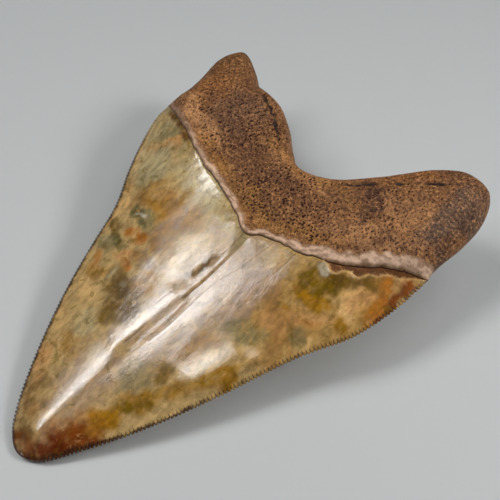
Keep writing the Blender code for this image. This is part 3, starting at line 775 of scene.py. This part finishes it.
def colour_side(points, f, labial):
    """The colour of each point of one side: enamel up to the border, bone beyond it."""
    bone = smoothstep(-0.05, 0.05, f["past"])[:, None]
    enamel = stained(points, ENAMEL_GROUND, ENAMEL_STAINS if labial else LINGUAL_STAINS, 101)
    root = stained(points, ROOT_GROUND, ROOT_STAINS if labial else [], 201)
    if labial:
        root = over(root, 0.7 * f["collar"], "umber")
        root = over(root, collar_cover(f), "collar")
        # The dark rim of the cutting edges; on the right it is painted shade of the edge's underside.
        enamel = over(enamel, dark_rim_and_shade(points, f), "dark bone")
        enamel = over(enamel, f["flake"], "flake")
        # A pale line brighter than cream along the broken enamel edge: painted highlight where that
        # edge catches the light.
        enamel = over(enamel, 0.85 * bump(f["flake_line"], 0.13), "cream", 1.1)
    else:
        enamel = over(enamel, 0.8 * f["bourlette"], "dark bone")
    return enamel * (1.0 - bone) + root * bone


# ---- the tooth ----
TILT = math.radians(11.29)  # the tooth lies on its tip and on the two swells of the lingual root
SHARP_ANGLE = math.radians(75.0)


def laid_down(vertices):
    """Tilts the tooth as it lies and fits it into the CAD solid's box, whose middle it shares."""
    turned = vertices @ np.array(Euler((TILT, 0.0, 0.0)).to_matrix()).T * MM
    low, high = turned.min(axis=0), turned.max(axis=0)
    room = np.array(CAD_HIGH) - np.array(CAD_LOW)
    turned = (turned - (low + high) / 2) * np.minimum(1.0, room / (high - low))
    turned += (np.array(CAD_LOW) + np.array(CAD_HIGH)) / 2
    turned[:, 2] += CAD_LOW.z - turned[:, 2].min()
    return turned


def attribute(mesh, name, values):
    """Stores a value or an RGBA colour for each point of the mesh."""
    kind, field = ("FLOAT_COLOR", "color") if values.ndim == 2 else ("FLOAT", "value")
    data = mesh.attributes.new(name, kind, "POINT").data
    data.foreach_set(field, np.ascontiguousarray(values, np.float32).ravel())


def make_tooth():
    """Both sides joined along the shared outer loop, with the fields that the material reads."""
    outer = outer_loop()
    top_points, top, top_f, top_faces = build_side(outer, True)
    low_points, low, low_f, low_faces = build_side(outer, False)
    shared = len(outer)
    flat = np.vstack([np.c_[top_points, top], np.c_[low_points, low][shared:]])
    low_faces = np.where(low_faces >= shared, low_faces + len(top_points) - shared, low_faces)
    faces = np.vstack([top_faces, low_faces[:, ::-1]])
    mesh = bpy.data.meshes.new("tooth_surface")
    mesh.from_pydata(laid_down(flat).tolist(), [], faces.tolist())

    def both(name, missing=0.0):
        upper = top_f.get(name, np.full(len(top_points), missing))
        lower = low_f.get(name, np.full(len(low_points), missing))
        return np.concatenate([upper, lower[shared:]])

    colours = np.vstack([colour_side(top_points, top_f, True),
                         colour_side(low_points, low_f, False)[shared:]])
    cracks = 0.8 * bump(both("crack", FAR), 0.06)
    # The notches between serrations are darkened: painted shade in these small clefts.
    notch = smoothstep(0.1, 0.8, 0.5 - both("serration")) * smoothstep(1.1, 0.5, both("to_edge"))
    attribute(mesh, "stain", np.c_[colours, np.ones(len(colours))])
    attribute(mesh, "bone", smoothstep(-0.05, 0.05, both("past")))
    attribute(mesh, "crack", np.maximum(cracks, 0.9 * bump(both("past"), 0.09)))
    attribute(mesh, "worn", np.maximum(both("flake"), both("dull")))
    attribute(mesh, "notch", notch * serration_fade(nearest(EDGES, flat[:, :2])[1]))
    for name in ("pit", "groove", "collar"):
        attribute(mesh, name, both(name))
    mesh.shade_smooth()
    mesh.set_sharp_from_angle(angle=SHARP_ANGLE)
    tooth = bpy.data.objects.new("tooth_surface", mesh)
    bpy.context.scene.collection.objects.link(tooth)
    return tooth


# ---- material ----
ENAMEL_ROUGHNESS = (0.24, 0.14)
BONE_ROUGHNESS = (0.62, 0.46)
WORN_ROUGHNESS = 0.6
COLLAR_ROUGHNESS = 0.42
PIT_ROUGHNESS = 0.9
COAT_ROUGHNESS = 0.09
BASE_IOR = 1.35
STREAK_RELIEF = 0.030  # the reliefs are depths in millimetres
LEATHER_RELIEF = 0.026
BONE_RELIEF = 0.34


class Nodes:
    """Short ways to add the shader nodes that the material uses."""

    def __init__(self, tree):
        self.tree = tree

    def add(self, kind, **inputs):
        """A node with its inputs set; an underscore in a name stands for a space."""
        node = self.tree.nodes.new(kind)
        return self.fill(node, {name.replace("_", " "): value for name, value in inputs.items()})

    def fill(self, node, values):
        for name, value in values.items():
            self.put(node, name, value)
        return node

    def put(self, node, name, value):
        """Links a socket to the node's input of that name or number, or sets its value."""
        socket = node.inputs[name]
        if isinstance(value, bpy.types.NodeSocket):
            self.tree.links.new(value, socket)
        else:
            socket.default_value = value

    def attribute(self, name, output="Fac"):
        node = self.tree.nodes.new("ShaderNodeAttribute")
        node.attribute_name = name
        return node.outputs[output]

    def noise(self, place, per_mm, detail, rough, warp=0.0):
        node = self.add("ShaderNodeTexNoise", Vector=place, Scale=per_mm, Detail=detail,
                        Roughness=rough, Distortion=warp)
        return node.outputs["Fac"]

    def ramp(self, value, low, high, to_low, to_high):
        """A smooth step from one number to another while the value goes from low to high."""
        node = self.add("ShaderNodeMapRange", Value=value, From_Min=low, From_Max=high,
                        To_Min=to_low, To_Max=to_high)
        node.interpolation_type = "SMOOTHSTEP"
        return node.outputs["Result"]

    def math(self, operation, a, b):
        node = self.tree.nodes.new("ShaderNodeMath")
        node.operation = operation
        return self.fill(node, {0: a, 1: b}).outputs[0]

    def mix(self, factor, a, b, blend="MIX"):
        """From colour a to colour b."""
        node = self.tree.nodes.new("ShaderNodeMix")
        node.data_type = "RGBA"
        node.blend_type = blend
        return self.fill(node, {0: factor, 6: a, 7: b}).outputs[2]

    def blend(self, factor, a, b):
        node = self.tree.nodes.new("ShaderNodeMix")
        return self.fill(node, {0: factor, 2: a, 3: b}).outputs[0]

    def bump(self, height_mm):
        """The normal of a surface with that relief."""
        node = self.add("ShaderNodeBump", Height=height_mm, Distance=MM, Strength=1.0)
        return node.outputs["Normal"]


def rgba(name, scale=1.0):
    """A palette colour for a shader socket, made darker by a scale below 1."""
    return (*(linear(name) * scale), 1.0)


def tooth_material():
    """Enamel and bone in one material, told apart by the attributes of the mesh."""
    mat = bpy.data.materials.new("fossil_tooth")
    mat.use_nodes = True
    n = Nodes(mat.node_tree)
    shader = mat.node_tree.nodes["Principled BSDF"]
    place = n.add("ShaderNodeTexCoord").outputs["Object"]
    in_mm = n.tree.nodes.new("ShaderNodeVectorMath")
    in_mm.operation = "SCALE"
    place = n.fill(in_mm, {0: place, "Scale": 1.0 / MM}).outputs[0]

    bone, pit = n.attribute("bone"), n.attribute("pit")
    crack, groove = n.attribute("crack"), n.attribute("groove")
    collar, worn, notch = n.attribute("collar"), n.attribute("worn"), n.attribute("notch")
    stain = n.attribute("stain", "Color")

    # Enamel: the stains are marbled and streaked along the tooth by finer noise.
    drawn = n.add("ShaderNodeMapping", Vector=place, Scale=(1.0, 0.4, 1.0)).outputs[0]
    marbling = n.noise(place, 0.5, 6.0, 0.66, 0.5)
    enamel = n.mix(n.ramp(marbling, 0.46, 0.34, 0.0, 0.55), stain, rgba("olive"))
    enamel = n.mix(n.ramp(marbling, 0.57, 0.70, 0.0, 0.45), enamel, rgba("peach"))
    clouds = n.noise(drawn, 0.8, 6.0, 0.64, 0.4)
    enamel = n.mix(1.0, enamel, n.ramp(clouds, 0.33, 0.67, 0.72, 1.24), "MULTIPLY")
    freckles = n.noise(place, 2.4, 4.0, 0.7)
    enamel = n.mix(n.ramp(freckles, 0.38, 0.28, 0.0, 0.35), enamel, rgba("umber", 0.8))

    # Bone: tan and brown grains, with dark pits.
    grain = n.noise(place, 1.6, 5.0, 0.72)
    coarse = n.noise(place, 0.16, 4.0, 0.6)
    root = n.mix(n.ramp(grain, 0.52, 0.36, 0.0, 0.80), stain, rgba("dark bone", 0.7))
    root = n.mix(n.ramp(grain, 0.51, 0.66, 0.0, 0.72), root, rgba("light bone"))
    root = n.mix(n.ramp(coarse, 0.55, 0.35, 0.0, 0.4), root, rgba("dark bone"))
    # Pits darken towards their bottoms: the bone's dark pores, with painted shade deepening them.
    root = n.mix(n.ramp(pit, 0.05, 0.42, 0.0, 0.97), root, rgba("deep rust", 0.30))
    # The groove along the notch is darkened almost to black: a dark crack, with painted shade in the
    # crease.
    root = n.mix(n.ramp(groove, 0.2, 0.7, 0.0, 0.95), root, rgba("dark bone", 0.2))
    root = n.mix(n.math("MULTIPLY", collar, 0.75), root, stain)

    colour = n.mix(bone, enamel, root)
    colour = n.mix(n.ramp(crack, 0.1, 0.8, 0.0, 0.85), colour, rgba("dark bone", 0.3))
    # Painted shade in the notches between the serrations.
    colour = n.mix(n.ramp(notch, 0.1, 0.9, 0.0, 0.85), colour, rgba("dark bone", 0.3))
    n.put(shader, "Base Color", colour)

    # Roughness: satin enamel, dull bone and pits, and a smoother collar.
    enamel_rough = n.ramp(clouds, 0.35, 0.65, *ENAMEL_ROUGHNESS)
    bone_rough = n.ramp(grain, 0.3, 0.7, *BONE_ROUGHNESS)
    rough = n.blend(bone, enamel_rough, bone_rough)
    rough = n.blend(worn, rough, WORN_ROUGHNESS)
    rough = n.blend(collar, rough, COLLAR_ROUGHNESS)
    n.put(shader, "Roughness", n.blend(pit, rough, PIT_ROUGHNESS))

    # Relief: brushed streaks along the enamel over a leathery grain, and coarse grains of bone.
    brushed = n.add("ShaderNodeMapping", Vector=place, Scale=(1.0, 0.14, 1.0)).outputs[0]
    streaks = n.math("MULTIPLY", n.noise(brushed, 1.1, 4.0, 0.70), STREAK_RELIEF)
    leather = n.math("MULTIPLY", n.noise(place, 2.5, 4.0, 0.60), LEATHER_RELIEF)
    enamel_relief = n.math("ADD", streaks, leather)
    bone_relief = n.math("MULTIPLY", grain, BONE_RELIEF)
    n.put(shader, "Normal", n.bump(n.blend(bone, enamel_relief, bone_relief)))
    n.put(shader, "IOR", BASE_IOR)

    # The enamel's gloss is a clear coat, which bone, the flaked strip and the dull spots lack.
    n.put(shader, "Coat Normal", n.bump(enamel_relief))
    n.put(shader, "Coat Weight", n.math("SUBTRACT", 1.0, n.math("MAXIMUM", bone, worn)))
    n.put(shader, "Coat Roughness", COAT_ROUGHNESS)
    return mat


# ---- table, camera, lights ----
VIEW_AZIMUTH = 43.5  # the photo's viewing angle, worked out from its perspective
VIEW_ELEVATION = 54.0
VIEW_TARGET = Vector((4.268, 9.434, 13.342)) * MM
VIEW_DISTANCE = 168.22 * MM
LENS = 55.4
TABLE_SIZE = 3.0
TABLE_COLOUR = (0.46, 0.475, 0.475, 1.0)
TABLE_ROUGHNESS = 0.55
ROOM_COLOUR = (0.85, 0.88, 0.90, 1.0)
ROOM_STRENGTH = 0.05
# Name, direction from the table, distance and two sides in metres, irradiance, spread in degrees
# (a narrow one leaves the far table darker) and direction of the first side. The first two make
# the highlights of the enamel.
LIGHTS = [
    ("sheen", (-0.46, -0.31, 0.86), 0.60, (0.36, 0.075), 1.35, 180.0, (-0.10, 1.0, 0.0)),
    ("haze", (-0.33, -0.16, 0.93), 0.70, (0.18, 0.10), 0.50, 180.0, (0.0, 1.0, 0.0)),
    ("overhead", (0.20, 0.40, 0.89), 0.50, (0.26, 0.26), 0.80, 80.0, (0.0, 1.0, 0.0)),
    ("window", (0.05, 0.80, 0.60), 0.70, (0.40, 0.40), 0.10, 180.0, (0.0, 1.0, 0.0)),
    ("fill", (0.62, 0.46, 0.63), 0.55, (0.14, 0.14), 1.90, 90.0, (0.0, 1.0, 0.0)),
]


def direction(azimuth, elevation):
    """Unit vector towards a place at that azimuth (0 in front, 90 to the right) and elevation."""
    a, e = math.radians(azimuth), math.radians(elevation)
    return Vector((math.sin(a) * math.cos(e), -math.cos(a) * math.cos(e), math.sin(e)))


def make_camera():
    """A camera that looks at the target, as the photo's did."""
    data = bpy.data.cameras.new("camera")
    data.lens = LENS
    data.clip_start = 0.01
    camera = bpy.data.objects.new("camera", data)
    back = direction(VIEW_AZIMUTH, VIEW_ELEVATION)
    camera.location = VIEW_TARGET + back * VIEW_DISTANCE
    camera.rotation_euler = (-back).to_track_quat("-Z", "Y").to_euler()
    bpy.context.scene.collection.objects.link(camera)
    bpy.context.scene.camera = camera


def soft_light(name, towards, distance, size, irradiance, spread, along):
    """An area light that faces the middle of the table and gives it that irradiance, in W/m2."""
    half = math.radians(spread) / 2
    data = bpy.data.lights.new(name, "AREA")
    data.shape = "RECTANGLE"
    data.size, data.size_y = size
    data.energy = irradiance * math.pi * distance ** 2
    if spread < 180.0:
        data.spread = 2 * half
        data.energy *= 1.0 - half / math.tan(half)
    away = Vector(towards).normalized()
    side = (Vector(along) - away * away.dot(Vector(along))).normalized()
    up = away.cross(side)
    light = bpy.data.objects.new(name, data)
    light.matrix_world = Matrix((side, up, away)).transposed().to_4x4()
    light.location = away * distance
    bpy.context.scene.collection.objects.link(light)


def make_lights():
    for light in LIGHTS:
        soft_light(*light)
    world = bpy.data.worlds.new("room")
    world.use_nodes = True
    background = world.node_tree.nodes["Background"]
    background.inputs["Color"].default_value = ROOM_COLOUR
    background.inputs["Strength"].default_value = ROOM_STRENGTH
    bpy.context.scene.world = world


def make_table():
    bpy.ops.mesh.primitive_plane_add(size=TABLE_SIZE)
    table = bpy.context.active_object
    table.name = "table"
    mat = bpy.data.materials.new("table")
    mat.use_nodes = True
    shader = mat.node_tree.nodes["Principled BSDF"]
    shader.inputs["Base Color"].default_value = TABLE_COLOUR
    shader.inputs["Roughness"].default_value = TABLE_ROUGHNESS
    table.data.materials.append(mat)


# ---- the scene ----
tooth = make_tooth()
tooth.data.materials.append(tooth_material())
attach(tooth, "root")
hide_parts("tooth")

make_table()
make_lights()
make_camera()
bpy.context.scene.view_settings.view_transform = "Standard"
